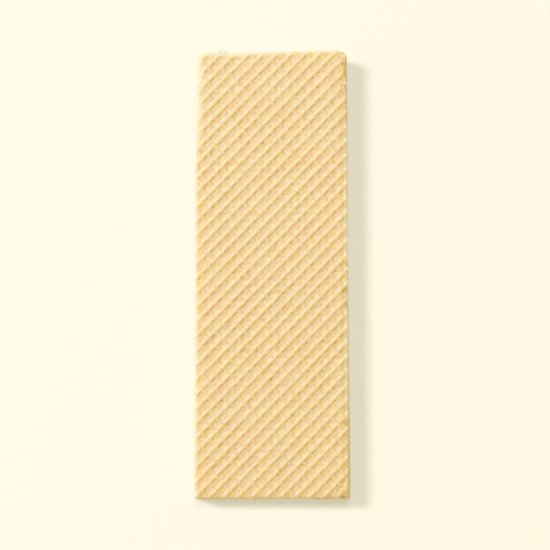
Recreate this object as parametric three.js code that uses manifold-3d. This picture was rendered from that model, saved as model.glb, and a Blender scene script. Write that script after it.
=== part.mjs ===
// Cream-filled wafer: three baked sheets with ridged faces and two layers of cream between them.
// Millimetres, +Z up. The origin is under the middle of the wafer, on the plane that it lies on.
// +Y runs along the length and +X across the width.

import * as THREE from 'three';
import { mergeVertices } from 'three/addons/utils/BufferGeometryUtils.js';
import Module from 'manifold-3d';

// Overall size
const LENGTH = 89.3;
const WIDTH = 30.9;
const SHEET_THICKNESS = 2.0;
const CREAM_THICKNESS = 1.4;

// Ridges on the outer faces: a lattice of squares, drawn out a little along the wafer, that runs
// diagonally across it. Two ridges cross at the given point. On the top sheet the ridges of one
// direction, the cross ridges, dip to a share of the height halfway between crossings.
const RIDGE_PITCH = 2.0;
const RIDGE_HEIGHT = 0.42;
const RIDGE_TURN = THREE.MathUtils.degToRad(45.35);
const RIDGE_STRETCH = 1.01;
const RIDGE_CROSSING = { x: -0.08, y: -0.19 };
const CROSS_RIDGE_SHARE = 0.66;
const TOP_POCKET_FLOOR = 0.7;

// Saw cuts: the sides are a little out of square, wavy and rounded at the corners
const BACK_SLOPE = 0.4;
const WAVE_DEPTH = 0.16;
const WAVE_STEP = 5.5;
const LONG_WAVE = { turns: 1.5, weight: 0.6 };
const SHORT_WAVE = { turns: 4, weight: 0.4 };
const CORNER_RADIUS = { backLeft: 2.4, backRight: 1.5, frontRight: 0.4, frontLeft: 0.6 };
const CORNER_SEGMENTS = 3;
const SEED = 7;

// Chips broken off the upper edge of the top sheet's right side: place along the length, width
// along the edge, depth across the face, drop down the side, and the share of them with a flat floor
const TOP_SHEET_CHIPS = [
  { at: 40.9, width: 5.0, depth: 0.9, drop: 0.7, flat: 0.3 },
  { at: 1.8, width: 1.5, depth: 0.7, drop: 0.6, flat: 0 },
  { at: -3.5, width: 2.4, depth: 1.4, drop: 0.8, flat: 0.1 },
  { at: -29.9, width: 1.3, depth: 0.75, drop: 0.5, flat: 0.75 },
];

// Layers from the underside up. An inset is how far a side lies inside the overall rectangle,
// and lean is how much further in the right side lies at its back end than at its front end.
const LAYERS = [
  { name: 'wafer_sheet_bottom', kind: 'sheet', ridges: 'below', chips: [],
    inset: { left: 0, right: 0, front: 0.1, back: 0.1 }, lean: 0.5 },
  { name: 'cream_lower', kind: 'cream', ridges: 'none', chips: [],
    inset: { left: 0.3, right: 0.4, front: 0.35, back: 0.4 }, lean: 0.45 },
  { name: 'wafer_sheet_middle', kind: 'sheet', ridges: 'none', chips: [],
    inset: { left: 0.08, right: 0.35, front: 0.05, back: 0.15 }, lean: 0.35 },
  { name: 'cream_upper', kind: 'cream', ridges: 'none', chips: [],
    inset: { left: 0.4, right: 0.7, front: 0.4, back: 0.35 }, lean: 0.25 },
  { name: 'wafer_sheet_top', kind: 'sheet', ridges: 'above', chips: TOP_SHEET_CHIPS,
    inset: { left: 0.08, right: 0.42, front: 0, back: 0 }, lean: 0.25 },
];
const LAYER_THICKNESS = { sheet: SHEET_THICKNESS, cream: CREAM_THICKNESS };
const LAYER_MATERIAL = { sheet: waferMaterial, cream: creamMaterial };

// Solids that cut each other reach past each other by this much
const CUT_MARGIN = 1.0;
const MERGE_DISTANCE = 1e-4;

const wasm = await Module();
wasm.setup();

function waferMaterial() {
  return new THREE.MeshStandardMaterial({ color: 0xf0d29c, roughness: 0.85, flatShading: true });
}

function creamMaterial() {
  return new THREE.MeshStandardMaterial({ color: 0xfaf0d9, roughness: 0.6, flatShading: true });
}

// A repeatable stream of numbers from 0 to 1
function seededRandom(seed) {
  let state = seed;
  return () => {
    state = (state * 1664525 + 1013904223) % 4294967296;
    return state / 4294967296;
  };
}

// How far a wavy cut runs inside its straight line, from 0 at both ends to at most WAVE_DEPTH
function makeWave(random) {
  const waves = [LONG_WAVE, SHORT_WAVE].map((wave) => ({ ...wave, start: random() }));
  return (share) => {
    const swing = waves.reduce((sum, { turns, weight, start }) =>
      sum + weight * Math.sin(2 * Math.PI * (turns * share + start)), 0);
    return WAVE_DEPTH * Math.sin(Math.PI * share) * (1 + swing) / 2;
  };
}

// Draws one saw cut from its start to its end, with the inside of the layer on its left
function addCut(shape, start, end, wave) {
  const steps = Math.round(start.distanceTo(end) / WAVE_STEP);
  const along = end.clone().sub(start).normalize();
  const inward = new THREE.Vector2(-along.y, along.x);
  for (let i = 1; i < steps; i += 1) {
    const point = start.clone().lerp(end, i / steps).addScaledVector(inward, wave(i / steps));
    shape.lineTo(point.x, point.y);
  }
  shape.lineTo(end.x, end.y);
}

// The corners of a layer before they are rounded, counter-clockwise from the front left
function layerCorners({ inset, lean }) {
  const left = -WIDTH / 2 + inset.left;
  const right = WIDTH / 2 - inset.right;
  const front = -LENGTH / 2 + inset.front;
  const back = LENGTH / 2 - inset.back;
  return [
    { radius: CORNER_RADIUS.frontLeft, point: new THREE.Vector2(left, front) },
    { radius: CORNER_RADIUS.frontRight, point: new THREE.Vector2(right, front) },
    { radius: CORNER_RADIUS.backRight, point: new THREE.Vector2(right - lean, back) },
    { radius: CORNER_RADIUS.backLeft, point: new THREE.Vector2(left, back - BACK_SLOPE) },
  ];
}

// The outline of a layer: four wavy cuts joined by rounded corners
function layerOutline(layer, random) {
  const shape = new THREE.Shape();
  const corners = layerCorners(layer);
  const cuts = corners.map((corner, i) => {
    const next = corners[(i + 1) % corners.length];
    const along = next.point.clone().sub(corner.point).normalize();
    const start = corner.point.clone().addScaledVector(along, corner.radius);
    const end = next.point.clone().addScaledVector(along, -next.radius);
    return { start, end, turn: next.point };
  });
  shape.moveTo(cuts[0].start.x, cuts[0].start.y);
  cuts.forEach((cut, i) => {
    const next = cuts[(i + 1) % cuts.length];
    addCut(shape, cut.start, cut.end, makeWave(random));
    shape.quadraticCurveTo(cut.turn.x, cut.turn.y, next.start.x, next.start.y);
  });
  return shape;
}

// A layer's outline drawn up from one height to another
function outlinePrism(outline, bottom, top) {
  const options = { depth: top - bottom, bevelEnabled: false, curveSegments: CORNER_SEGMENTS };
  const geometry = new THREE.ExtrudeGeometry(outline, options);
  geometry.translate(0, 0, bottom);
  return geometry;
}

// Collects points, and faces that are fans from their first point
function meshCollector() {
  const positions = [];
  const triangles = [];
  return {
    addPoint: (x, y, z) => positions.push(x, y, z) / 3 - 1,
    addFan: ([tip, ...path]) => {
      for (let k = 0; k + 1 < path.length; k += 1) {
        triangles.push(tip, path[k], path[k + 1]);
      }
    },
    toGeometry: () => {
      const geometry = new THREE.BufferGeometry();
      geometry.setAttribute('position', new THREE.Float32BufferAttribute(positions, 3));
      geometry.setIndex(triangles);
      return geometry;
    },
  };
}

// A pocket with a square flat floor. Its rim's second and fourth sides are cross ridges, which dip
// to the given points.
function addFloorPocket(mesh, rim, dips, x, y) {
  const half = TOP_POCKET_FLOOR / 2;
  const signs = [[-1, -1], [1, -1], [1, 1], [-1, 1]];
  const floor = signs.map(([sx, sy]) => mesh.addPoint(x + sx * half, y + sy * half, -RIDGE_HEIGHT));
  mesh.addFan([rim[0], rim[1], floor[1], floor[0]]);
  mesh.addFan([dips[1], rim[2], floor[2], floor[1], rim[1]]);
  mesh.addFan([rim[2], rim[3], floor[3], floor[2]]);
  mesh.addFan([dips[0], rim[0], floor[0], floor[3], rim[3]]);
  mesh.addFan(floor);
}

// A pocket that ends in a point, under a rim of even height
function addPointedPocket(mesh, rim, x, y) {
  const point = mesh.addPoint(x, y, -RIDGE_HEIGHT);
  rim.forEach((corner, side) => mesh.addFan([corner, rim[(side + 1) % 4], point]));
}

// A square slab whose upper face is a lattice of sharp ridges around square pockets, with the
// crests at height 0. Pockets have flat floors and dipping cross ridges, or end in a point.
function ridgedSlab(flatFloors, depth) {
  const cells = 2 * Math.ceil(Math.hypot(LENGTH, WIDTH) / 2 / RIDGE_PITCH + 1);
  const line = (index) => (index - cells / 2) * RIDGE_PITCH;
  const mesh = meshCollector();
  const pointGrid = (shift, height) => Array.from({ length: cells + 1 }, (_, i) =>
    Array.from({ length: cells + 1 }, (__, j) => mesh.addPoint(line(i), line(j + shift), height)));
  const crests = pointGrid(0, 0);
  const base = pointGrid(0, -depth);
  const dips = flatFloors ? pointGrid(0.5, -(1 - CROSS_RIDGE_SHARE) * RIDGE_HEIGHT) : null;

  for (let i = 0; i < cells; i += 1) {
    for (let j = 0; j < cells; j += 1) {
      const rim = [crests[i][j], crests[i + 1][j], crests[i + 1][j + 1], crests[i][j + 1]];
      if (flatFloors) {
        addFloorPocket(mesh, rim, [dips[i][j], dips[i + 1][j]], line(i + 0.5), line(j + 0.5));
      } else {
        addPointedPocket(mesh, rim, line(i + 0.5), line(j + 0.5));
      }
      mesh.addFan([base[i][j], base[i][j + 1], base[i + 1][j + 1], base[i + 1][j]]);
    }
  }
  for (let k = 0; k < cells; k += 1) {
    const firstDip = flatFloors ? [dips[0][k]] : [];
    const lastDip = flatFloors ? [dips[cells][k]] : [];
    mesh.addFan([base[k][0], base[k + 1][0], crests[k + 1][0], crests[k][0]]);
    mesh.addFan([base[k + 1][cells], base[k][cells], crests[k][cells], crests[k + 1][cells]]);
    mesh.addFan([...lastDip, crests[cells][k], base[cells][k], base[cells][k + 1], crests[cells][k + 1]]);
    mesh.addFan([...firstDip, crests[0][k + 1], base[0][k + 1], base[0][k], crests[0][k]]);
  }
  return mesh.toGeometry();
}

// The ridged slab turned into place, crests up at the top height or crests down at the bottom height
function placedSlab(ridges, bottom, top) {
  const depth = top - bottom + CUT_MARGIN;
  const slab = ridgedSlab(ridges === 'above', depth);
  if (ridges === 'below') {
    slab.rotateX(Math.PI);
  }
  slab.rotateZ(RIDGE_TURN);
  slab.scale(1, RIDGE_STRETCH, 1);
  slab.translate(RIDGE_CROSSING.x, RIDGE_CROSSING.y, ridges === 'above' ? top : bottom);
  return slab;
}

function toSolid(geometry) {
  const bare = geometry.clone();
  bare.deleteAttribute('normal');
  bare.deleteAttribute('uv');
  const merged = mergeVertices(bare, MERGE_DISTANCE);
  const vertProperties = new Float32Array(merged.getAttribute('position').array);
  const triVerts = new Uint32Array(merged.getIndex().array);
  return new wasm.Manifold(new wasm.Mesh({ numProp: 3, vertProperties, triVerts }));
}

function toGeometry(solid) {
  const mesh = solid.getMesh();
  const geometry = new THREE.BufferGeometry();
  geometry.setAttribute('position', new THREE.Float32BufferAttribute(mesh.vertProperties, 3));
  geometry.setIndex(new THREE.Uint32BufferAttribute(mesh.triVerts, 1));
  geometry.computeVertexNormals();
  return geometry;
}

// What breaks away at a chip: a wedge that reaches in and down from the upper edge of the right side,
// with a flat floor over its flat share and slants up to the face around that
function chipWedge(layer, { at, width, depth, drop, flat }, top) {
  const side = WIDTH / 2 - layer.inset.right - layer.lean * (at / LENGTH + 0.5);
  const outside = side + CUT_MARGIN;
  const above = top + CUT_MARGIN;
  const floor = top - drop;
  const halfPoints = (sign) => {
    const end = at + sign * width / 2;
    const flatEnd = at + sign * flat * width / 2;
    return [
      [side, end, top], [side, end, above], [outside, end, top],
      [side - depth, flatEnd, top], [side - depth, flatEnd, above],
      [side - flat * depth, flatEnd, floor], [outside, flatEnd, floor],
    ];
  };
  return wasm.Manifold.hull([...halfPoints(-1), ...halfPoints(1)]);
}

// A layer with plain faces is its outline prism, and an outer sheet is that prism crossed with a slab,
// less its chips
function layerGeometry(layer, outline, bottom, top) {
  if (layer.ridges === 'none') {
    return outlinePrism(outline, bottom, top);
  }
  const above = layer.ridges === 'above' ? CUT_MARGIN : 0;
  const below = layer.ridges === 'below' ? CUT_MARGIN : 0;
  const prism = toSolid(outlinePrism(outline, bottom - below, top + above));
  const slab = toSolid(placedSlab(layer.ridges, bottom, top));
  const wedges = layer.chips.map((chip) => chipWedge(layer, chip, top));
  return toGeometry(wedges.reduce((sheet, wedge) => sheet.subtract(wedge), prism.intersect(slab)));
}

function buildWafer() {
  const wafer = new THREE.Group();
  const random = seededRandom(SEED);
  let bottom = 0;
  for (const layer of LAYERS) {
    const top = bottom + LAYER_THICKNESS[layer.kind];
    const outline = layerOutline(layer, random);
    const geometry = layerGeometry(layer, outline, bottom, top);
    const mesh = new THREE.Mesh(geometry, LAYER_MATERIAL[layer.kind]());
    mesh.name = layer.name;
    wafer.add(mesh);
    bottom = top;
  }
  return wafer;
}

export default buildWafer();
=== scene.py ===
"""The looks of a cream-filled wafer: crisp ridged sheets, soft cream between them and a pale studio.

Lengths are in millimetres, apart from those of the floor and the lights, which are in metres.
Millimetres turn into metres where a mesh, a material or the camera is made.
"""

import math

import bmesh
import bpy
import numpy as np
from mathutils import Matrix, Vector


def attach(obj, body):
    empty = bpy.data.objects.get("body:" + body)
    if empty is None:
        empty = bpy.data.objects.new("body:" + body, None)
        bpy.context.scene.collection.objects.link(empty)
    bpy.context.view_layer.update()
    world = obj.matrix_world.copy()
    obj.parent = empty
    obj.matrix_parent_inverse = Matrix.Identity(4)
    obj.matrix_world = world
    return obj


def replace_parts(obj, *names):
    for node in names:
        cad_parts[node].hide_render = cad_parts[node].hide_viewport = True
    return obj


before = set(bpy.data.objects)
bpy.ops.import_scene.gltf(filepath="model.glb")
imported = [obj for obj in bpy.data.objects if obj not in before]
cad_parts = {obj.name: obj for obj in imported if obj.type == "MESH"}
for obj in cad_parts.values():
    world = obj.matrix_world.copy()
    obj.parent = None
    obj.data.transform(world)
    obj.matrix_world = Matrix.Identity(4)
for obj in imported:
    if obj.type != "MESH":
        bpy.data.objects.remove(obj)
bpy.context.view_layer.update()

MM = 0.001

# Ridge lattice, the same as on the solids
RIDGE_PITCH = 2.0
RIDGE_HEIGHT = 0.42
RIDGE_FLANK = 0.66
CROSS_RIDGE_SHARE = 0.66
RIDGE_TURN = math.radians(45.35)
RIDGE_STRETCH = 1.01
RIDGE_CROSSING = (-0.08, -0.19)

# Layers from the underside up, and the heights of their faces
SHEET_THICKNESS = 2.0
CREAM_THICKNESS = 1.4
LAYER_NODES = ["wafer_sheet_bottom", "cream_lower", "wafer_sheet_middle", "cream_upper", "wafer_sheet_top"]
LAYER_THICKNESSES = [SHEET_THICKNESS, CREAM_THICKNESS, SHEET_THICKNESS, CREAM_THICKNESS, SHEET_THICKNESS]
LAYER_LEVELS = np.cumsum([0, *LAYER_THICKNESSES])

# Corners of the layers, seen from above: the signs of their directions, and the solids' radii
CORNERS = {"front_left": (-1, -1), "front_right": (1, -1), "back_right": (1, 1), "back_left": (-1, 1)}
CORNER_RADIUS = {"front_left": 0.6, "front_right": 0.4, "back_right": 1.5, "back_left": 2.4}

# How the sides are found among a solid's points: clear of the corners, near the outside, at one height
CORNER_ROOM = 2.45
SIDE_BAND = 2.2
LEVEL_TOLERANCE = 0.01

# Meshes: steps of the face grids in each ridge pitch, rows of faces up the cut sides, and how many
# points before and after a loop's point its direction is taken from
TOP_GRID_STEPS = 16
UNDERSIDE_GRID_STEPS = 12
LOOP_STEP = 0.2
SHEET_WALL_ROWS = 9
CREAM_WALL_ROWS = 8
DIRECTION_REACH = 2
FIT_FALLOFF = 3.0
CAP_INSET = 0.9
SHARP_ANGLE = math.radians(50)

# Values that a mesh keeps at its points for the wafer's material
VALUE_NAMES = ("crest", "cross", "cut", "rim", "dry", "wear_and_painted_light", "pores_and_painted_shade")

# Noise: its table and seed, and for each layer of lumps how many times smaller they are, and their weight
NOISE_CELLS = 64
SEED = 11
NOISE_LAYERS = ((1.0, 1.0), (2.03, 0.5), (4.1, 0.25))

# Baked skin of the ridged faces: uneven ridges, lumps, grain and pores
RIDGE_VARIATION = 0.4
RIDGE_VARIATION_SIZE = 2.6
LUMP_SIZE = 1.6
LUMP_HEIGHT = 0.032
GRAIN_SIZE = 0.42
GRAIN_HEIGHT = 0.02
PORE_SIZE = 0.55
PORE_DEPTH = 0.1
PORE_RANGE = (0.5, 0.85)
PORE_SHIFT = 5

# Rims of the ridged faces: rounded, sagging, beige, and darkened with painted shade on the right and front,
# the sides away from the light
EDGE_ROUNDING = {"left": 0.1, "back": 0.1, "right": 0.5, "front": 0.35}
RIM_SAG = {"front": 0.2, "right": 0.24}
RIM_SAG_REACH = 1.5
RIM_BEIGE = {"left": 0.35, "back": 0.35, "right": 0.6, "front": 0.9}
RIM_BEIGE_WIDTH = 0.4
# Painted shade on the right and front rims, which face away from the light
RIM_PAINTED_SHADE = {"right": 0.4, "front": 0.15}
RIM_PAINTED_SHADE_WIDTH = 0.9
FACE_DRYNESS = 0.35

# Small nicks in the rims of the ridged faces
NICK_SIZE = 1.1
NICK_START = 0.25
NICK_REACH = 0.5
NICK_DROP = 0.3
NICK_SHIFT = 9

# Rubbed, pale rims of the left and back sides, widest near the corner between them; their paleness is partly
# wear and partly painted light, as these sides face the light
WORN_WIDTH = {"left": 2.4, "back": 1.5}
WORN_AMOUNT = {"left": 0.4, "back": 0.4}
WORN_CORNER = (-15.4, 44.6)
WORN_CORNER_REACH = (8.0, 26.0)
WORN_FAR_WIDTH = 0.5
WORN_WANDER = 0.4
WORN_WANDER_SIZE = 3.0
WORN_DROP = 0.06

# The middle of the upper face's right rim is paler than its ends: where along the length, and how far in
RIGHT_PALE_RANGE = (-28.0, 28.0)
RIGHT_PALE_FADE = 3.0
RIGHT_PALE_WIDTH = 0.9
RIGHT_PALE_AMOUNT = 0.85

# Small pale spots on the upper face: centre and reach, and the share of the reach that is fully pale
PALE_SPOTS = [(-14.55, 32.9, 0.7), (-15.3, -44.3, 1.3)]
PALE_SPOT_CORE = 0.3

# Chips broken off the upper edge of the top sheet's right side, much as on the solids: place along the
# length, width along the edge, depth across the face, drop down the side, and the share that is flat
CHIPS = [
    (40.9, 5.0, 0.9, 0.7, 0.3),
    (1.8, 1.5, 0.7, 0.6, 0.0),
    (-3.5, 2.4, 1.4, 0.8, 0.1),
    (-29.9, 1.3, 1.0, 0.6, 0.75),
]
CHIP_ROUGHNESS = 0.08
CHIP_RIM = 0.2
BROKEN_TINT = 1.5

# Patches of the upper face where the ridges have crumbled: centre and reach
ROUGH_PATCHES = [(14.2, -43.2, 3.0), (14.8, -5.6, 2.0), (14.6, 42.4, 2.6), (15.0, 37.5, 2.6)]
ROUGH_CORE = 0.2
ROUGH_WANDER = 0.4
ROUGH_WANDER_SIZE = 1.7
ROUGH_SIZE = 0.5
ROUGH_DEPTH = 0.5
ROUGH_HOLLOWS = (-0.2, 0.6)
ROUGH_FLATNESS = 0.5

# Cut sides: ragged outlines, more so at the right end of the front
JITTER_SIZE = 0.7
JITTER_DEPTH = {"left": 0.035, "right": 0.1, "front": 0.09, "back": 0.045}
FRONT_CRUMBLE = 2.5
FRONT_CRUMBLE_RANGE = (5.0, 12.0)

# Cut sides: porous crumb between two skins, dragged cream, and wavy seams between them
CRUMB_RECESS = 0.08
CRUMB_LUMP_SIZE = 0.45
CRUMB_LUMP_DEPTH = 0.2
CRUMB_HOLLOWS = (-0.1, 0.6)
SKIN_SHARE = 0.18
SKIN_CUT = 0.75
CREAM_LUMP_SIZE = (1.6, 1.6, 0.35)
CREAM_LUMP_DEPTH = 0.12
CREAM_POKE = 0.03
SEAM_WAVE = 0.22
SEAM_VARIATION = 0.4
SEAM_VARIATION_SIZE = 2.0

# Single crumbs that cling to the edges: centre, radii and how pale each is
EDGE_CRUMBS = [
    ((-10.7, 44.4, 8.35), (0.75, 0.55, 0.15), 1.0),
    ((-9.6, 44.3, 8.3), (0.6, 0.35, 0.13), 0.9),
    ((13.4, -44.55, 7.9), (0.4, 0.25, 0.3), 0.0),
    ((14.3, -44.5, 7.5), (0.3, 0.25, 0.3), 0.0),
    ((14.75, -6.6, 7.7), (0.25, 0.6, 0.4), 0.2),
]
PALE_CRUMB_WEAR = 0.85

# Crumbs along the right end of the front edge, tinted dark as a painted shadow line under that corner
CORNER_CRUMB_COUNT = 16
CORNER_CRUMB_BOX = ((9.0, -44.7, 6.8), (14.9, -44.4, 8.0))
CORNER_CRUMB_RADIUS = (0.12, 0.28)
CORNER_CRUMB_STRETCH = (0.7, 1.3)
# Painted shadow: the corner crumbs' dark tint stands for the shadow line under the front corner
CORNER_CRUMB_PAINTED_SHADOW = 1.3

# Crumbs scattered on the sheets' cut sides: heights are shares of a sheet's thickness
SIDE_CRUMB_COUNT = 120
SIDE_CRUMB_RADIUS = (0.07, 0.22)
SIDE_CRUMB_HEIGHTS = (0.35, 0.65)
SIDE_CRUMB_STAND = 0.2
SIDE_CRUMB_STRETCH = (0.7, 1.2)
SIDE_CRUMB_PALENESS = (0, 0.5)

# Form of every crumb: how finely its ball is divided, and its lumps in shares of its radius
CRUMB_DIVISIONS = 3
CRUMB_UNEVENNESS = 0.4
CRUMB_SWELL_SIZE = 0.9

# Colours of the baked sheets
BAKED_COLOUR = (0.975, 0.712, 0.385)
PALE_COLOUR = (0.98, 0.757, 0.44)
PEACH_COLOUR = (1.0, 0.665, 0.385)
FLECK_COLOUR = (0.84, 0.595, 0.24)
CREST_COLOUR = (0.965, 0.66, 0.44)
# Painted shade: the cross ridges are coloured darker, as if shaded
CROSS_RIDGE_SHADE_COLOUR = (0.85, 0.615, 0.35)
# Partly wear, partly painted light: the left and back rims, which face the light, are paler
WORN_AND_PAINTED_LIGHT_COLOUR = (0.97, 0.87, 0.66)
CRUMB_COLOUR = (0.79, 0.61, 0.41)
RIM_COLOUR = (0.76, 0.63, 0.54)
# Darker golden of the pores, broken places and crumb hollows, and painted shade on the right and front rims
# and the front corner's crumbs
PORE_AND_PAINTED_SHADE_COLOUR = (0.72, 0.49, 0.19)

# Patterns of the baked sheets: noise between low and high becomes a share between 0 and the strength
MOTTLE = {"size": 4.0, "detail": 4.0, "low": 0.35, "high": 0.65, "strength": 1.0}
TINGE = {"size": 1.5, "detail": 2.0, "low": 0.42, "high": 0.62, "strength": 0.6}
SPECKLE = {"size": 0.3, "detail": 3.0, "low": 0.3, "high": 0.7, "strength": 1.0}
FLECK = {"size": 0.55, "detail": 4.0, "low": 0.5, "high": 0.72, "strength": 0.95}

# How strongly the colours cover those below them
SPECKLE_STRENGTH = 0.25
CREST_START = 0.3
CREST_STRENGTH = 0.7
CROSS_RIDGE_SHADE_STRENGTH = 0.8
CRUMB_STRENGTH = 0.9
TINT_FULL = 2.0
TINT_STRENGTH = 0.9

# Finish of the baked sheets
WAFER_ROUGHNESS = (0.72, 0.9)
WAFER_SPECULAR = 0.3
WAFER_SCATTER = (3.0, 2.2, 0.12)
WAFER_SCATTER_SHARE = 0.45
CRUMB_SCATTER_SHARE = 0.15
COARSE_BUMP_SIZE = 0.5
COARSE_BUMP_HEIGHT = 0.06
FINE_BUMP_SIZE = 0.14
FINE_BUMP_HEIGHT = 0.03
BUMP_DETAIL = 2.0

# Cream
CREAM_COLOUR = (0.905, 0.79, 0.59)
CREAM_PALE_COLOUR = (0.935, 0.85, 0.705)
CREAM_STREAKS = {"size": (2.4, 2.4, 0.3), "detail": 3.0, "low": 0.3, "high": 0.7, "strength": 1.0}
CREAM_ROUGHNESS = (0.42, 0.6)
CREAM_SCATTER = (0.5, 0.45, 0.35)
CREAM_SCATTER_SHARE = 0.4
CREAM_GRAIN_SIZE = 0.25
CREAM_GRAIN_HEIGHT = 0.03
CREAM_STREAK_HEIGHT = 0.05

# Sockets of a mix node that mixes colours
MIX_FIRST = 6
MIX_SECOND = 7
MIX_RESULT = 2

# Floor, and the light from all round: warm from above and neutral from low down
FLOOR_SIZE = 6.0
FLOOR_COLOUR = (0.35, 0.35, 0.35)
FLOOR_GLOW = (0.409, 0.398, 0.344)
SKY_COLOUR = (0.709, 0.572, 0.173)
HORIZON_COLOUR = (0.70, 0.68, 0.62)
SKY_START = 0.8
WORLD_STRENGTH = 1.018

# Lights: the key and top lights shade the floor, and the cool relief light shades the wafer's ridges
LIGHTS = {
    "key": {"direction": (-0.55, 0.175, 1.0), "distance": 2.4, "size": (0.69, 0.5),
            "power": 50.3, "colour": (1.0, 0.94, 0.955)},
    "top": {"direction": (0.0, 0.16, 1.0), "distance": 2.4, "size": (0.5, 0.5),
            "power": 17.1, "colour": (0.96, 1.0, 0.98)},
    "relief": {"direction": (-0.55, 0.445, 0.707), "distance": 0.8, "size": (0.25, 0.25),
               "power": 6.5, "colour": (0.42, 0.57, 0.99)},
}

# Camera at the photo's angle: a long lens almost straight above the wafer
CAMERA_PLACE = (-3.21, -70.40, 620.97)
CAMERA_TURN = (math.radians(6.511), math.radians(-0.341), math.radians(-0.008))
CAMERA_LENS = 203.7


# Numbers that vary smoothly


def smooth_step(low, high, value):
    """0 below low, 1 above high, and a smooth rise between them."""
    share = np.clip((value - low) / (high - low), 0, 1)
    return share * share * (3 - 2 * share)


def make_noise(seed):
    """Smooth seeded noise from -1 to 1 at points, with lumps of the given size."""
    table = np.random.default_rng(seed).uniform(-1, 1, (NOISE_CELLS,) * 3)

    def noise(x, y, z, size):
        sizes = np.broadcast_to(np.asarray(size, float), (3,))
        spots = [np.asarray(value, float) / one for value, one in zip((x, y, z), sizes)]
        spots = np.broadcast_arrays(*spots)
        cells = [np.floor(spot).astype(int) for spot in spots]
        shares = [smooth_step(0, 1, spot - cell) for spot, cell in zip(spots, cells)]
        total = 0
        for corner in np.ndindex(2, 2, 2):
            index = tuple((cell + side) % NOISE_CELLS for cell, side in zip(cells, corner))
            weights = [share if side else 1 - share for share, side in zip(shares, corner)]
            total = total + table[index] * weights[0] * weights[1] * weights[2]
        return total

    return noise


noise = make_noise(SEED)


def layered_noise(x, y, z, size):
    """Noise with lumps of the given size and smaller lumps on them."""
    size = np.asarray(size, float)
    total = sum(weight * noise(x, y, z, size / smaller) for smaller, weight in NOISE_LAYERS)
    return total / sum(weight for _, weight in NOISE_LAYERS)


# The ridge lattice


def ridge_coordinates(x, y):
    """Place in ridge pitches along the two directions of the lattice."""
    right = x - RIDGE_CROSSING[0]
    up = (y - RIDGE_CROSSING[1]) / RIDGE_STRETCH
    cos, sin = math.cos(RIDGE_TURN), math.sin(RIDGE_TURN)
    return (right * cos + up * sin) / RIDGE_PITCH, (up * cos - right * sin) / RIDGE_PITCH


def ridge_profile(place):
    """Height across one family of ridges, from 0 between them to 1 on their rounded crests."""
    distance = np.abs(place - np.round(place)) * RIDGE_PITCH
    return 0.5 * (1 + np.cos(np.pi * np.minimum(distance / RIDGE_FLANK, 1)))


def ridge_height(x, y):
    """Height of the lattice, from 0 on the floors of the pockets to 1 on the crests."""
    along, across = ridge_coordinates(x, y)
    return 1 - (1 - CROSS_RIDGE_SHARE * ridge_profile(along)) * (1 - ridge_profile(across))


def ridge_values(x, y):
    """How near points are to a main ridge's crest, and to a cross ridge's crest between main ridges, where
    painted shade darkens the cross ridges.
    """
    along, across = ridge_coordinates(x, y)
    main_ridge = ridge_profile(across)
    return {"crest": main_ridge, "cross": ridge_profile(along) * (1 - main_ridge)}


# Outlines of the layers, read from the solids


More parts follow.
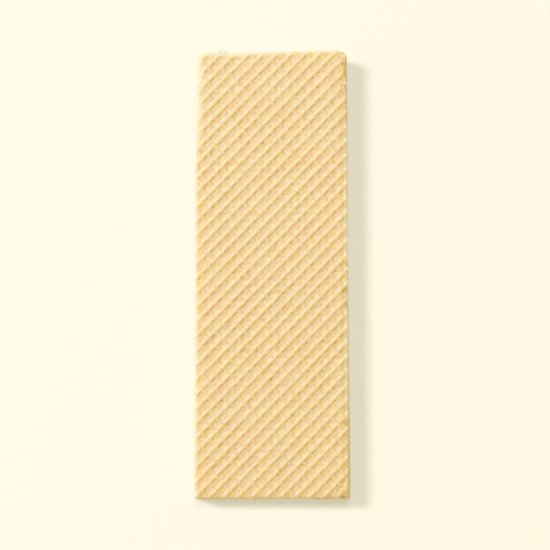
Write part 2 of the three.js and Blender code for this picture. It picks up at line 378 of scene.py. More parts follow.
class Outline:
    """The four cut sides of a layer, as ragged lines that follow its solid."""

    def __init__(self, node, level):
        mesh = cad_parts[node].data
        points = np.array([vertex.co for vertex in mesh.vertices]) / MM
        points = points[np.abs(points[:, 2] - level) < LEVEL_TOLERANCE]
        low, high = points[:, :2].min(0), points[:, :2].max(0)
        inner = (points[:, :2] > low + CORNER_ROOM) & (points[:, :2] < high - CORNER_ROOM)
        self.level = level
        self.lines = {
            "left": self.side_line(points, 1, inner[:, 1] & (points[:, 0] < low[0] + SIDE_BAND)),
            "right": self.side_line(points, 1, inner[:, 1] & (points[:, 0] > high[0] - SIDE_BAND)),
            "front": self.side_line(points, 0, inner[:, 0] & (points[:, 1] < low[1] + SIDE_BAND)),
            "back": self.side_line(points, 0, inner[:, 0] & (points[:, 1] > high[1] - SIDE_BAND)),
        }

    @staticmethod
    def side_line(points, along_axis, chosen):
        """The chosen points in order along the side, as (place along it, place across it)."""
        line = points[chosen][:, [along_axis, 1 - along_axis]]
        return line[np.argsort(line[:, 0])].T

    def side(self, name, place):
        """Where a side runs at places along it, with its ragged edge."""
        inward = 1 if name in ("left", "front") else -1
        line = np.interp(place, *self.lines[name])
        ragged = layered_noise(place, line, self.level, JITTER_SIZE)
        if name == "front":
            ragged = ragged * (1 + FRONT_CRUMBLE * smooth_step(*FRONT_CRUMBLE_RANGE, place))
        return line + inward * JITTER_DEPTH[name] * ragged

    def corners(self):
        """The corners before rounding, each with its name and the signs of its directions."""
        for name, (sign_x, sign_y) in CORNERS.items():
            end, flank = name.split("_")
            x = self.side(flank, self.lines[flank][0][0 if sign_y < 0 else -1])
            y = self.side(end, self.lines[end][0][0 if sign_x < 0 else -1])
            yield name, x, y, sign_x, sign_y

    def round_corners(self, x, y):
        """Bends points near the square corners into round ones."""
        x, y = x.copy(), y.copy()
        for name, corner_x, corner_y, sign_x, sign_y in self.corners():
            radius = CORNER_RADIUS[name]
            centre_x = corner_x - sign_x * radius
            centre_y = corner_y - sign_y * radius
            out_x = np.clip((x - centre_x) * sign_x / radius, 0, 1)
            out_y = np.clip((y - centre_y) * sign_y / radius, 0, 1)
            near = (out_x > 0) & (out_y > 0)
            round_x = centre_x + sign_x * radius * out_x * np.sqrt(1 - out_y ** 2 / 2)
            round_y = centre_y + sign_y * radius * out_y * np.sqrt(1 - out_x ** 2 / 2)
            x[near], y[near] = round_x[near], round_y[near]
        return x, y

    def depths(self, x, y):
        """How far points lie inside each side."""
        return {
            "left": x - self.side("left", y),
            "right": self.side("right", y) - x,
            "front": y - self.side("front", x),
            "back": self.side("back", x) - y,
        }

    def loop(self, step):
        """Points round the whole outline, counter-clockwise, about a step apart."""
        corner = {name: (x, y) for name, x, y, _, _ in self.corners()}
        front = self.even_steps(corner["front_left"][0], corner["front_right"][0], step)
        right = self.even_steps(corner["front_right"][1], corner["back_right"][1], step)
        back = self.even_steps(corner["back_right"][0], corner["back_left"][0], step)
        left = self.even_steps(corner["back_left"][1], corner["front_left"][1], step)
        x = np.concatenate([front, self.side("right", right), back, self.side("left", left)])
        y = np.concatenate([self.side("front", front), right, self.side("back", back), left])
        return self.round_corners(x, y)

    @staticmethod
    def even_steps(start, end, step):
        """Places from the start up to the end, without the end itself."""
        count = round(abs(end - start) / step)
        return np.linspace(start, end, count, endpoint=False)


# Meshes


def face_grid(outline, steps):
    """A grid over a ridged face whose diagonals run along the ridges and whose rim is the outline.

    Returns the grid's column and row numbers, counted from a crossing of ridges, and its x and y.
    """
    cos, sin = math.cos(RIDGE_TURN), math.sin(RIDGE_TURN)
    step = RIDGE_PITCH / steps
    column_step = np.array([cos + sin, RIDGE_STRETCH * (sin - cos)]) * step
    row_step = np.array([cos - sin, RIDGE_STRETCH * (sin + cos)]) * step
    limits = {name: line[1].mean() for name, line in outline.lines.items()}
    columns = np.arange(round((limits["left"] - RIDGE_CROSSING[0]) / column_step[0]),
                        round((limits["right"] - RIDGE_CROSSING[0]) / column_step[0]) + 1)
    rows = np.arange(round((limits["front"] - RIDGE_CROSSING[1]) / row_step[1]),
                     round((limits["back"] - RIDGE_CROSSING[1]) / row_step[1]) + 1)
    column, row = np.meshgrid(columns, rows, indexing="ij")
    x = RIDGE_CROSSING[0] + column * column_step[0] + row * row_step[0]
    y = RIDGE_CROSSING[1] + column * column_step[1] + row * row_step[1]
    x, y = fit_grid(outline, x, y)
    return column, row, x, y


def fit_grid(outline, x, y):
    """Pulls the rim of a grid onto the outline, and the points near it a part of the way."""
    def pull(distance):
        return 1 - smooth_step(0, FIT_FALLOFF, distance)

    left_move = outline.side("left", y[0]) - x[0]
    right_move = outline.side("right", y[-1]) - x[-1]
    x = x + left_move * pull(x - x[0]) + right_move * pull(x[-1] - x)
    front_move = (outline.side("front", x[:, 0]) - y[:, 0])[:, None]
    back_move = (outline.side("back", x[:, -1]) - y[:, -1])[:, None]
    y = y + front_move * pull(y - y[:, :1]) + back_move * pull(y[:, -1:] - y)
    return outline.round_corners(x, y)


def grid_triangles(column, row, steps, face_up):
    """Two triangles for each cell of a grid, split along the nearer family of ridges."""
    count_x, count_y = column.shape
    index = np.arange(count_x * count_y).reshape(count_x, count_y)
    a, b = index[:-1, :-1].ravel(), index[1:, :-1].ravel()
    c, d = index[1:, 1:].ravel(), index[:-1, 1:].ravel()
    rising = (row - column)[:-1, :-1].ravel() / steps
    falling = (row + column + 1)[:-1, :-1].ravel() / steps
    split_rising = np.abs(rising - np.round(rising)) <= np.abs(falling - np.round(falling))
    first = np.where(split_rising[:, None], np.stack([a, b, c], 1), np.stack([a, b, d], 1))
    second = np.where(split_rising[:, None], np.stack([a, c, d], 1), np.stack([b, c, d], 1))
    triangles = np.concatenate([first, second])
    return triangles if face_up else triangles[:, ::-1]


def grid_rim(shape):
    """Numbers of a grid's rim points, counter-clockwise from above."""
    index = np.arange(shape[0] * shape[1]).reshape(shape)
    return np.concatenate([index[:-1, 0], index[-1, :-1], index[:0:-1, -1], index[0, :0:-1]])


def outward_directions(x, y):
    """Unit directions that point out of a counter-clockwise loop."""
    along_x = np.roll(x, -DIRECTION_REACH) - np.roll(x, DIRECTION_REACH)
    along_y = np.roll(y, -DIRECTION_REACH) - np.roll(y, DIRECTION_REACH)
    length = np.hypot(along_x, along_y)
    return along_y / length, -along_x / length


class Layer:
    """Collects the points, faces and point values of one piece's mesh."""

    def __init__(self, name):
        self.name = name
        self.points = []
        self.faces = []
        self.values = {key: [] for key in VALUE_NAMES}
        self.count = 0

    def add_points(self, x, y, z, **values):
        """Adds points, with values that the material reads, and returns their numbers.

        Points are as dry, or closed to light, as they are cut, unless their dryness is given.
        """
        values = {"dry": values.get("cut", 0.0), **values}
        block = np.stack([np.ravel(x), np.ravel(y), np.ravel(z)], 1)
        numbers = np.arange(self.count, self.count + len(block))
        self.points.append(block)
        self.count += len(block)
        for key, blocks in self.values.items():
            column = np.broadcast_to(values.get(key, 0.0), np.shape(x))
            blocks.append(np.ravel(column))
        return numbers

    def add_faces(self, faces):
        self.faces.extend(np.asarray(faces).tolist())

    def add_band(self, upper, lower):
        """A ring of faces that look outwards, between two loops of the same length."""
        next_upper, next_lower = np.roll(upper, -1), np.roll(lower, -1)
        self.add_faces(np.stack([upper, lower, next_lower, next_upper], 1))

    def add_cap(self, x, y, z, rim, face_up):
        """Closes a loop with a flat ring and a flat face inside it."""
        centre_x, centre_y = x.mean(), y.mean()
        half = np.array([np.ptp(x), np.ptp(y)]) / 2
        shrink_x, shrink_y = 1 - CAP_INSET / half
        inner_x = centre_x + (x - centre_x) * shrink_x
        inner_y = centre_y + (y - centre_y) * shrink_y
        ring = self.add_points(inner_x, inner_y, np.full(len(x), z), cut=1.0)
        if face_up:
            self.add_band(ring, rim)
            self.faces.append(ring.tolist())
        else:
            self.add_band(rim, ring)
            self.faces.append(ring[::-1].tolist())

    def finish(self, material, slot):
        """Makes the mesh, and says what it rides on and takes its finish from."""
        mesh = bpy.data.meshes.new(self.name)
        mesh.from_pydata((np.concatenate(self.points) * MM).tolist(), [], self.faces)
        for key, blocks in self.values.items():
            attribute = mesh.attributes.new(key, "FLOAT", "POINT")
            attribute.data.foreach_set("value", np.concatenate(blocks).astype(np.float32))
        mesh.shade_smooth()
        mesh.set_sharp_from_angle(angle=SHARP_ANGLE)
        mesh.materials.append(material)
        piece = bpy.data.objects.new(self.name, mesh)
        bpy.context.scene.collection.objects.link(piece)
        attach(piece, "root")
        return piece


# Wear of the ridged faces


def rim_share(depths, amounts, width):
    """The largest of the rims' amounts, each of which fades out over a width inside its side."""
    shares = [amount * (1 - smooth_step(0, width, depths[name])) for name, amount in amounts.items()]
    return np.maximum.reduce(shares)


def rim_drop(depths):
    """How far the rims lie below the face: their rounding and their sag."""
    drop = 0
    for name, radius in EDGE_ROUNDING.items():
        near = np.clip(radius - depths[name], 0, radius)
        drop = drop + radius - np.sqrt(radius ** 2 - near ** 2)
    for name, sag in RIM_SAG.items():
        drop = drop + sag * (1 - smooth_step(0, RIM_SAG_REACH, depths[name]))
    return drop


def wear_and_painted_light_share(x, y, level, depths):
    """How rubbed and pale a face is: most at the rims of the left and back sides, near their corner. The
    paleness is partly painted light, as these rims face the light.
    """
    corner = np.hypot(x - WORN_CORNER[0], y - WORN_CORNER[1])
    near = 1 - smooth_step(*WORN_CORNER_REACH, corner)
    wander = 1 + WORN_WANDER * noise(x, y, level, WORN_WANDER_SIZE)
    wear_and_painted_light = np.zeros_like(x)
    for name, width in WORN_WIDTH.items():
        reach = width * (WORN_FAR_WIDTH + (1 - WORN_FAR_WIDTH) * near) * wander
        amount = WORN_AMOUNT[name] + (1 - WORN_AMOUNT[name]) * near
        wear_and_painted_light = np.maximum(wear_and_painted_light, amount * (1 - smooth_step(0, reach, depths[name])))
    return wear_and_painted_light


def spot_share(x, y):
    """How pale the upper face is in its small pale spots."""
    pale = np.zeros_like(x)
    for centre_x, centre_y, reach in PALE_SPOTS:
        away = np.hypot(x - centre_x, y - centre_y)
        pale = np.maximum(pale, 1 - smooth_step(PALE_SPOT_CORE * reach, reach, away))
    return pale


def right_pale_share(y, inside):
    """How pale the right rim is: most at the edge, in the middle of the length."""
    start, end = RIGHT_PALE_RANGE
    along = smooth_step(start - RIGHT_PALE_FADE, start, y) * (1 - smooth_step(end, end + RIGHT_PALE_FADE, y))
    return along * (1 - smooth_step(0, RIGHT_PALE_WIDTH, inside))


def nick_share(x, y, level, depths):
    """How deep the face is nicked, in places close to its rims."""
    edge = np.minimum.reduce(list(depths.values()))
    spots = smooth_step(NICK_START, 1, noise(x, y, level + NICK_SHIFT, NICK_SIZE))
    return spots * (1 - smooth_step(0, NICK_REACH, edge))


def rough_share(x, y, level):
    """How crumbled the upper face is: most in the middle of the rough patches."""
    rough = np.zeros_like(x)
    wander = 1 + ROUGH_WANDER * noise(x, y, level, ROUGH_WANDER_SIZE)
    for centre_x, centre_y, reach in ROUGH_PATCHES:
        away = np.hypot(x - centre_x, y - centre_y) * wander
        rough = np.maximum(rough, 1 - smooth_step(ROUGH_CORE * reach, reach, away))
    return rough


def chip_drop(y, inside):
    """How far the chips lower the top face, at places along the right side and depths inside it."""
    drop = np.zeros_like(y)
    for at, width, depth, deepest, flat in CHIPS:
        past_flat = np.maximum(np.abs(y - at) / (width / 2) - flat, 0) / (1 - flat)
        share = (1 - inside / depth - past_flat) / (1 - flat)
        drop = np.maximum(drop, deepest * np.minimum(share, 1))
    return drop


def break_chips(height, x, y, level, inside):
    """Breaks the chips out of the upper face. Returns its heights, and how broken it is."""
    drop = chip_drop(y, inside)
    chipped = smooth_step(0, CHIP_RIM, drop)
    lumps = CHIP_ROUGHNESS * layered_noise(x, y, level, CRUMB_LUMP_SIZE)
    broken_height = np.minimum(height, chipped * lumps - drop)
    return np.where(drop > 0, broken_height, height), chipped


# Relief of the ridged faces


def ridge_relief(x, y, level, wear_and_painted_light, rough):
    """Heights of the ridges below their crests' level, flatter where the face is rubbed or crumbled."""
    depth = RIDGE_HEIGHT * (1 + RIDGE_VARIATION * layered_noise(x, y, level, RIDGE_VARIATION_SIZE))
    kept = (1 - wear_and_painted_light) ** 2 * (1 - ROUGH_FLATNESS * rough)
    return -depth * (1 - ridge_height(x, y)) * kept - WORN_DROP * wear_and_painted_light


def skin_relief(x, y, level):
    """Heights of the baked skin's lumps and grain, none above 0."""
    lumps = LUMP_HEIGHT * (layered_noise(x, y, level, LUMP_SIZE) - 1)
    grain = GRAIN_HEIGHT * (noise(x, y, level, GRAIN_SIZE) - 1)
    return lumps + grain


def face_relief(outline, x, y, face_up):
    """Heights of a ridged face outwards from its crests' level, and the values that its material reads.

    Only the upper face has crumbled patches, chips and pale places.
    """
    level = outline.level
    depths = outline.depths(x, y)
    # Wear flattens the ridges; its paleness on the left and back rims is partly painted light
    wear_and_painted_light = wear_and_painted_light_share(x, y, level, depths)
    rough = rough_share(x, y, level) * face_up
    crumbled = rough * smooth_step(*ROUGH_HOLLOWS, layered_noise(x, y, level, ROUGH_SIZE))
    pores_and_painted_shade = smooth_step(*PORE_RANGE, noise(x, y, level + PORE_SHIFT, PORE_SIZE))
    nick = nick_share(x, y, level, depths)
    height = ridge_relief(x, y, level, wear_and_painted_light, rough) + skin_relief(x, y, level) - rim_drop(depths)
    height = height - ROUGH_DEPTH * crumbled - PORE_DEPTH * pores_and_painted_shade - NICK_DROP * nick
    broken = np.maximum(nick, crumbled)
    pale_rim = right_pale_share(y, depths["right"]) * face_up
    if face_up:
        wear_and_painted_light = np.maximum.reduce([wear_and_painted_light, spot_share(x, y), RIGHT_PALE_AMOUNT * pale_rim])
        height, chipped = break_chips(height, x, y, level, depths["right"])
        broken = np.maximum(broken, chipped)
    rim = rim_share(depths, RIM_BEIGE, RIM_BEIGE_WIDTH) * (1 - pale_rim)
    # Painted shade: the right and front rims, away from the light, are tinted darker golden
    tint = rim_share(depths, RIM_PAINTED_SHADE, RIM_PAINTED_SHADE_WIDTH) * (1 - pale_rim)
    tint = np.maximum.reduce([tint, pores_and_painted_shade, BROKEN_TINT * broken])
    values = {"rim": rim, "dry": FACE_DRYNESS * rim, "wear_and_painted_light": wear_and_painted_light, "pores_and_painted_shade": tint, **ridge_values(x, y)}
    return height, values


# Cut sides


def seam_wave(x, y, level):
    """How far a sheet's inner face dips away from the cream that fills its relief."""
    variation = 1 + SEAM_VARIATION * noise(x, y, level, SEAM_VARIATION_SIZE)
    return SEAM_WAVE * (1 - ridge_height(x, y)) * variation


def sheet_swell(x, y, level):
    """How far the middle sheet's faces lie outside their levels: they dip away from the cream."""
    return -seam_wave(x, y, level)


def cream_swell(x, y, level):
    """How far the cream's faces lie outside their levels: they fill the dips and poke a little further."""
    return seam_wave(x, y, level) + CREAM_POKE


def sheet_wall(x, y, z, share):
    """How far a sheet's cut side lies inside its outline, at a share of the way down, and its values."""
    crumb = smooth_step(0, SKIN_SHARE, share) * smooth_step(0, SKIN_SHARE, 1 - share)
    hollow = smooth_step(*CRUMB_HOLLOWS, layered_noise(x, y, z, CRUMB_LUMP_SIZE))
    depth = crumb * (CRUMB_RECESS + CRUMB_LUMP_DEPTH * hollow)
    return depth, {"cut": SKIN_CUT + (1 - SKIN_CUT) * crumb, "pores_and_painted_shade": crumb * hollow}


def cream_wall(x, y, z, _share):
    """How far the cream's cut side lies inside its outline. Its material reads no values."""
    depth = CREAM_LUMP_DEPTH * (1 + layered_noise(x, y, z, CREAM_LUMP_SIZE)) / 2
    return depth, {}


def add_wall(layer, texture, rim, x, y, top, bottom, rows, end=None):
    """A cut side from a rim of points down to the bottom heights, or to an end loop that lies there.

    Returns the lowest loop, and its x and y.
    """
    out_x, out_y = outward_directions(x, y)
    upper = rim
    for row in range(1, rows + 1):
        share = row / rows
        z = top + (bottom - top) * share
        depth, values = texture(x, y, z, share)
        row_x = x - out_x * depth
        row_y = y - out_y * depth
        if row == rows and end is not None:
            lower = end
        else:
            lower = layer.add_points(row_x, row_y, z, **values)
        layer.add_band(upper, lower)
        upper = lower
    return upper, row_x, row_y


# Layers of the wafer


def ridged_sheet(node, level, inner_level, steps, face_up):
    """An outer sheet: a ridged face at its level, cut sides, and a hidden face against the cream."""
    outline = Outline(node, inner_level)
    layer = Layer(node + "_skin")
    column, row, x, y = face_grid(outline, steps)
    height, values = face_relief(outline, x, y, face_up)
    z = level + height if face_up else level - height
    layer.add_points(x, y, z, **values)
    layer.add_faces(grid_triangles(column, row, steps, face_up))
    rim = grid_rim(column.shape)
    rim_x, rim_y, rim_z = x.ravel()[rim], y.ravel()[rim], z.ravel()[rim]
    wave = seam_wave(rim_x, rim_y, inner_level)
    if face_up:
        seam = inner_level + wave
        last, last_x, last_y = add_wall(layer, sheet_wall, rim, rim_x, rim_y, rim_z, seam, SHEET_WALL_ROWS)
        layer.add_cap(last_x, last_y, inner_level, last, face_up=False)
    else:
        seam = inner_level - wave
        upper = layer.add_points(rim_x, rim_y, seam, cut=SKIN_CUT)
        layer.add_cap(rim_x, rim_y, inner_level, upper, face_up=True)
        add_wall(layer, sheet_wall, upper, rim_x, rim_y, seam, rim_z, SHEET_WALL_ROWS, end=rim)
    piece = layer.finish(wafer_material, "wafer")
    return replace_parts(piece, node)


def inner_layer(node, bottom, top, swell, texture, rows):
    """The mesh of a layer between two others: cut sides, and hidden faces above and below."""
    outline = Outline(node, bottom)
    layer = Layer(node + "_skin")
    x, y = outline.loop(LOOP_STEP)
    upper_z = top + swell(x, y, top)
    lower_z = bottom - swell(x, y, bottom)
    rim = layer.add_points(x, y, upper_z, cut=SKIN_CUT)
    layer.add_cap(x, y, top, rim, face_up=True)
    last, last_x, last_y = add_wall(layer, texture, rim, x, y, upper_z, lower_z, rows)
    layer.add_cap(last_x, last_y, bottom, last, face_up=False)
    return layer


def middle_sheet(node, bottom, top):
    """The sheet between the two layers of cream."""
    layer = inner_layer(node, bottom, top, sheet_swell, sheet_wall, SHEET_WALL_ROWS)
    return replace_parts(layer.finish(wafer_material, "wafer"), node)


def cream_layer(node, bottom, top):
    """A layer of cream between two sheets."""
    layer = inner_layer(node, bottom, top, cream_swell, cream_wall, CREAM_WALL_ROWS)
    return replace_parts(layer.finish(cream_material, "cream"), node)


# Crumbs, each as a centre, radii and the values that the material reads


def crumb_values(pale=0.0, tint=0.0):
    """Values of a crumb, from how pale it is and how dark its tint is, which on the front corner's crumbs is
    painted shadow.
    """
    return {"cut": 1 - pale, "dry": 1.0, "wear_and_painted_light": PALE_CRUMB_WEAR * pale, "pores_and_painted_shade": tint}


def edge_crumbs():
    """The single crumbs on the edges."""
    for centre, radii, pale in EDGE_CRUMBS:
        yield centre, radii, crumb_values(pale)


def corner_crumbs(random):
    """Crumbs along the crumbled end of the front edge, tinted dark as a painted shadow line."""
    for _ in range(CORNER_CRUMB_COUNT):
        centre = random.uniform(*CORNER_CRUMB_BOX)
        radii = random.uniform(*CORNER_CRUMB_RADIUS) * random.uniform(*CORNER_CRUMB_STRETCH, 3)
        yield centre, radii, crumb_values(tint=CORNER_CRUMB_PAINTED_SHADOW)


def sheet_loops():
    """Outlines of the three sheets: x, y and outward directions of their points, and their lower level."""
    loops = []
    for node, level in zip(LAYER_NODES, LAYER_LEVELS):
        if node.startswith("wafer"):
            inner_level = level + SHEET_THICKNESS * node.endswith("bottom")
            x, y = Outline(node, inner_level).loop(LOOP_STEP)
            loops.append((x, y, *outward_directions(x, y), level))
    return loops


def side_crumbs(random):
    """Small crumbs that sit on the cut sides of the three sheets."""
    loops = sheet_loops()
    for _ in range(SIDE_CRUMB_COUNT):
        x, y, out_x, out_y, level = loops[random.integers(len(loops))]
        spot = random.integers(len(x))
        radius = random.uniform(*SIDE_CRUMB_RADIUS)
        height = random.uniform(*SIDE_CRUMB_HEIGHTS)
        z = level + height * SHEET_THICKNESS
        recess, _ = sheet_wall(x[spot], y[spot], z, 1 - height)
        inward = recess - SIDE_CRUMB_STAND * radius
        centre = (x[spot] - inward * out_x[spot], y[spot] - inward * out_y[spot], z)
        radii = radius * random.uniform(*SIDE_CRUMB_STRETCH, 3)
        yield centre, radii, crumb_values(random.uniform(*SIDE_CRUMB_PALENESS))


def crumb_ball():
    """Points on a ball of radius 1, and its triangles."""
    ball = bmesh.new()
    bmesh.ops.create_icosphere(ball, subdivisions=CRUMB_DIVISIONS, radius=1)
    points = np.array([vertex.co for vertex in ball.verts])
    triangles = np.array([[vertex.index for vertex in face.verts] for face in ball.faces])
    ball.free()
    return points, triangles


def clinging_crumbs():
    """All the crumbs that cling to the wafer, in one mesh."""
    random = np.random.default_rng(SEED)
    ball, triangles = crumb_ball()
    layer = Layer("clinging_crumbs")
    crumbs = [*edge_crumbs(), *corner_crumbs(random), *side_crumbs(random)]
    for centre, radii, values in crumbs:
        shift = random.uniform(0, NOISE_CELLS, 3)
        swell = 1 + CRUMB_UNEVENNESS * layered_noise(*(ball + shift).T, CRUMB_SWELL_SIZE)
        points = np.asarray(centre) + ball * swell[:, None] * np.asarray(radii)
        numbers = layer.add_points(*points.T, **values)
        layer.add_faces(triangles + numbers[0])
    return layer.finish(wafer_material, "wafer")


# Materials


class Nodes:
    """Short ways to add shader nodes to a new material."""

    def __init__(self, name):
        self.material = bpy.data.materials.new(name)
        self.material.use_nodes = True
        self.tree = self.material.node_tree
        self.shader = self.tree.nodes["Principled BSDF"]
        self.place = self.tree.nodes.new("ShaderNodeTexCoord").outputs["Object"]

    def link(self, source, target):
        self.tree.links.new(source, target)

    def value(self, name):
        """A value stored with the mesh's points."""
        node = self.tree.nodes.new("ShaderNodeAttribute")
        node.attribute_name = name
        return node.outputs["Fac"]

    def noise(self, size, detail):
        """Noise from 0 to 1 with lumps of about the given size, one number or one for each direction."""
        scale = self.tree.nodes.new("ShaderNodeMapping")
        scale.inputs["Scale"].default_value = (1 / (MM * np.broadcast_to(size, 3))).tolist()
        self.link(self.place, scale.inputs["Vector"])
        node = self.tree.nodes.new("ShaderNodeTexNoise")
        node.inputs["Scale"].default_value = 1
        node.inputs["Detail"].default_value = detail
        self.link(scale.outputs["Vector"], node.inputs["Vector"])
        return node.outputs["Fac"]

    def range(self, source, low, high, to_low, to_high):
        """Maps a range of values to another one, and holds it there."""
        node = self.tree.nodes.new("ShaderNodeMapRange")
        node.inputs["From Min"].default_value = low
        node.inputs["From Max"].default_value = high
        node.inputs["To Min"].default_value = to_low
        node.inputs["To Max"].default_value = to_high
        self.link(source, node.inputs["Value"])
        return node.outputs["Result"]

    def pattern(self, size, detail, low, high, strength):
        """Noise whose range from low to high becomes a share from 0 to the strength."""
        return self.range(self.noise(size, detail), low, high, 0, strength)

    def mix(self, share, first, second):
        """Mixes two colours, each a colour or a socket, by a share."""
        node = self.tree.nodes.new("ShaderNodeMix")
        node.data_type = "RGBA"
        self.link(share, node.inputs["Factor"])
        for socket, colour in ((MIX_FIRST, first), (MIX_SECOND, second)):
            if isinstance(colour, tuple):
                node.inputs[socket].default_value = (*colour, 1)
            else:
                self.link(colour, node.inputs[socket])
        return node.outputs[MIX_RESULT]

    def bump(self, relief, height, below=None):
        """A bump of the given height, over another one if there is one."""
        node = self.tree.nodes.new("ShaderNodeBump")
        node.inputs["Strength"].default_value = 1.0
        node.inputs["Distance"].default_value = height * MM
        self.link(relief, node.inputs["Height"])
        if below is not None:
            self.link(below, node.inputs["Normal"])
        return node.outputs["Normal"]


def wafer_colour(nodes, speckle):
    """Mottled pale gold with flecks, under the colours of ridges, wear, cuts, rims and pores, with painted
    shade on the cross ridges, the right and front rims and the front corner's crumbs, and partly painted
    light on the left and back rims.
    """
    colour = nodes.mix(nodes.pattern(**MOTTLE), BAKED_COLOUR, PALE_COLOUR)
    colour = nodes.mix(nodes.pattern(**TINGE), colour, PEACH_COLOUR)
    crest = nodes.range(nodes.value("crest"), CREST_START, 1, 0, CREST_STRENGTH)
    colour = nodes.mix(crest, colour, CREST_COLOUR)
    # Painted shade on the cross ridges between the main ridges
    cross = nodes.range(nodes.value("cross"), 0, 1, 0, CROSS_RIDGE_SHADE_STRENGTH)
    colour = nodes.mix(cross, colour, CROSS_RIDGE_SHADE_COLOUR)
    colour = nodes.mix(nodes.range(speckle, 0, 1, 0, SPECKLE_STRENGTH), colour, PALE_COLOUR)
    colour = nodes.mix(nodes.pattern(**FLECK), colour, FLECK_COLOUR)
    # Wear, and painted light on the lit left and back rims
    colour = nodes.mix(nodes.value("wear_and_painted_light"), colour, WORN_AND_PAINTED_LIGHT_COLOUR)
    cut = nodes.range(nodes.value("cut"), 0, 1, 0, CRUMB_STRENGTH)
    colour = nodes.mix(cut, colour, CRUMB_COLOUR)
    colour = nodes.mix(nodes.value("rim"), colour, RIM_COLOUR)
    # Pores, broken places and painted shade, in darker golden
    tint = nodes.range(nodes.value("pores_and_painted_shade"), 0, TINT_FULL, 0, TINT_STRENGTH)
    return nodes.mix(tint, colour, PORE_AND_PAINTED_SHADE_COLOUR)


def make_wafer_material():
    """Dry baked sheet that lets a little light through, less where it is cut open, with a fine grain."""
    nodes = Nodes("wafer")
    shader = nodes.shader
    speckle = nodes.pattern(**SPECKLE)
    nodes.link(wafer_colour(nodes, speckle), shader.inputs["Base Color"])
    nodes.link(nodes.range(speckle, 0, 1, *WAFER_ROUGHNESS), shader.inputs["Roughness"])
    shader.inputs["Specular IOR Level"].default_value = WAFER_SPECULAR
    scatter = nodes.range(nodes.value("dry"), 0, 1, WAFER_SCATTER_SHARE, CRUMB_SCATTER_SHARE)
    nodes.link(scatter, shader.inputs["Subsurface Weight"])
    shader.inputs["Subsurface Radius"].default_value = WAFER_SCATTER
    shader.inputs["Subsurface Scale"].default_value = MM
    coarse = nodes.bump(nodes.noise(COARSE_BUMP_SIZE, BUMP_DETAIL), COARSE_BUMP_HEIGHT)
    fine = nodes.bump(nodes.noise(FINE_BUMP_SIZE, BUMP_DETAIL), FINE_BUMP_HEIGHT, below=coarse)
    nodes.link(fine, shader.inputs["Normal"])
    return nodes.material


def make_cream_material():
    """Soft ivory cream, with streaks where the cut dragged it."""
    nodes = Nodes("cream")
    shader = nodes.shader
    streaks = nodes.pattern(**CREAM_STREAKS)
    nodes.link(nodes.mix(streaks, CREAM_COLOUR, CREAM_PALE_COLOUR), shader.inputs["Base Color"])
    nodes.link(nodes.range(streaks, 0, 1, *CREAM_ROUGHNESS), shader.inputs["Roughness"])
    shader.inputs["Subsurface Weight"].default_value = CREAM_SCATTER_SHARE
    shader.inputs["Subsurface Radius"].default_value = CREAM_SCATTER
    shader.inputs["Subsurface Scale"].default_value = MM
    grain = nodes.bump(nodes.noise(CREAM_GRAIN_SIZE, BUMP_DETAIL), CREAM_GRAIN_HEIGHT)
    nodes.link(nodes.bump(streaks, CREAM_STREAK_HEIGHT, below=grain), shader.inputs["Normal"])
    return nodes.material


def make_floor_material():
    """Plain matt floor that glows a little, so that shadows on it stay light."""
    nodes = Nodes("floor")
    shader = nodes.shader
    shader.inputs["Base Color"].default_value = (*FLOOR_COLOUR, 1)
    shader.inputs["Roughness"].default_value = 1.0
    shader.inputs["Specular IOR Level"].default_value = 0.0
    shader.inputs["Emission Color"].default_value = (*FLOOR_GLOW, 1)
    shader.inputs["Emission Strength"].default_value = 1.0
    return nodes.material


# Studio: pale floor, soft light and the camera


def make_floor():
    """A square floor under the wafer."""
    half = FLOOR_SIZE / 2
    corners = [(-half, -half, 0), (half, -half, 0), (half, half, 0), (-half, half, 0)]
    mesh = bpy.data.meshes.new("floor")
    mesh.from_pydata(corners, [], [(0, 1, 2, 3)])
    mesh.materials.append(make_floor_material())
    floor = bpy.data.objects.new("floor", mesh)
    bpy.context.scene.collection.objects.link(floor)
    return floor


def add_softbox(name, lit):
    """One of the oval lights, which shines on the given objects alone.

    Its size is given along the floor's X and along the floor's Y.
    """
    settings = LIGHTS[name]
    data = bpy.data.lights.new(name, "AREA")
    data.shape = "ELLIPSE"
    data.size, data.size_y = settings["size"]
    data.energy = settings["power"]
    data.color = settings["colour"]
    light = bpy.data.objects.new(name, data)
    bpy.context.scene.collection.objects.link(light)
    towards = Vector(settings["direction"]).normalized()
    sideways = Vector((0, 1, 0)).cross(towards).normalized()
    turn = Matrix((sideways, towards.cross(sideways), towards)).transposed()
    light.matrix_world = Matrix.Translation(towards * settings["distance"]) @ turn.to_4x4()
    receivers = bpy.data.collections.new(name + "_receivers")
    for thing in lit:
        receivers.objects.link(thing)
    light.light_linking.receiver_collection = receivers


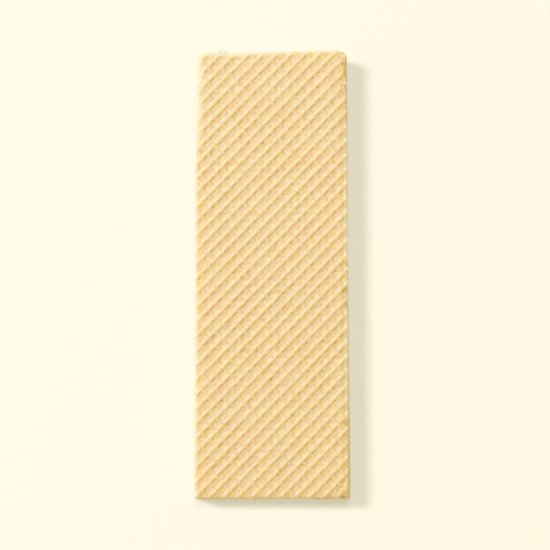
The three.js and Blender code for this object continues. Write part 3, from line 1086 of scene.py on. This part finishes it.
def set_world():
    """Soft light from all round, which turns from the horizon's colour to the sky's with height."""
    world = bpy.data.worlds.new("studio")
    world.use_nodes = True
    tree = world.node_tree
    background = tree.nodes["Background"]
    direction = tree.nodes.new("ShaderNodeTexCoord").outputs["Generated"]
    height = tree.nodes.new("ShaderNodeSeparateXYZ")
    tree.links.new(direction, height.inputs["Vector"])
    share = tree.nodes.new("ShaderNodeMapRange")
    share.inputs["From Max"].default_value = SKY_START
    tree.links.new(height.outputs["Z"], share.inputs["Value"])
    blend = tree.nodes.new("ShaderNodeMix")
    blend.data_type = "RGBA"
    blend.inputs[MIX_FIRST].default_value = (*HORIZON_COLOUR, 1)
    blend.inputs[MIX_SECOND].default_value = (*SKY_COLOUR, 1)
    tree.links.new(share.outputs["Result"], blend.inputs["Factor"])
    tree.links.new(blend.outputs[MIX_RESULT], background.inputs["Color"])
    background.inputs["Strength"].default_value = WORLD_STRENGTH
    bpy.context.scene.world = world


def set_camera():
    """The camera, at the photo's angle."""
    data = bpy.data.cameras.new("camera")
    data.lens = CAMERA_LENS
    camera = bpy.data.objects.new("camera", data)
    camera.location = Vector(CAMERA_PLACE) * MM
    camera.rotation_euler = CAMERA_TURN
    bpy.context.scene.collection.objects.link(camera)
    bpy.context.scene.camera = camera


def set_view():
    """Shows colours as they are, with no look on top."""
    view = bpy.context.scene.view_settings
    view.view_transform = "Standard"
    view.look = "None"


# The whole scene

wafer_material = make_wafer_material()
cream_material = make_cream_material()


def build_wafer():
    """The five layers, from the underside up, and the crumbs."""
    levels = LAYER_LEVELS
    bottom, lower, middle, upper, top = LAYER_NODES
    return [
        ridged_sheet(bottom, levels[0], levels[1], UNDERSIDE_GRID_STEPS, face_up=False),
        cream_layer(lower, levels[1], levels[2]),
        middle_sheet(middle, levels[2], levels[3]),
        cream_layer(upper, levels[3], levels[4]),
        ridged_sheet(top, levels[5], levels[4], TOP_GRID_STEPS, face_up=True),
        clinging_crumbs(),
    ]


def build_studio(pieces):
    """The floor, the lights and the camera around the wafer's pieces."""
    floor = make_floor()
    set_world()
    add_softbox("key", [floor])
    add_softbox("top", [floor])
    add_softbox("relief", pieces)
    set_camera()
    set_view()


build_studio(build_wafer())
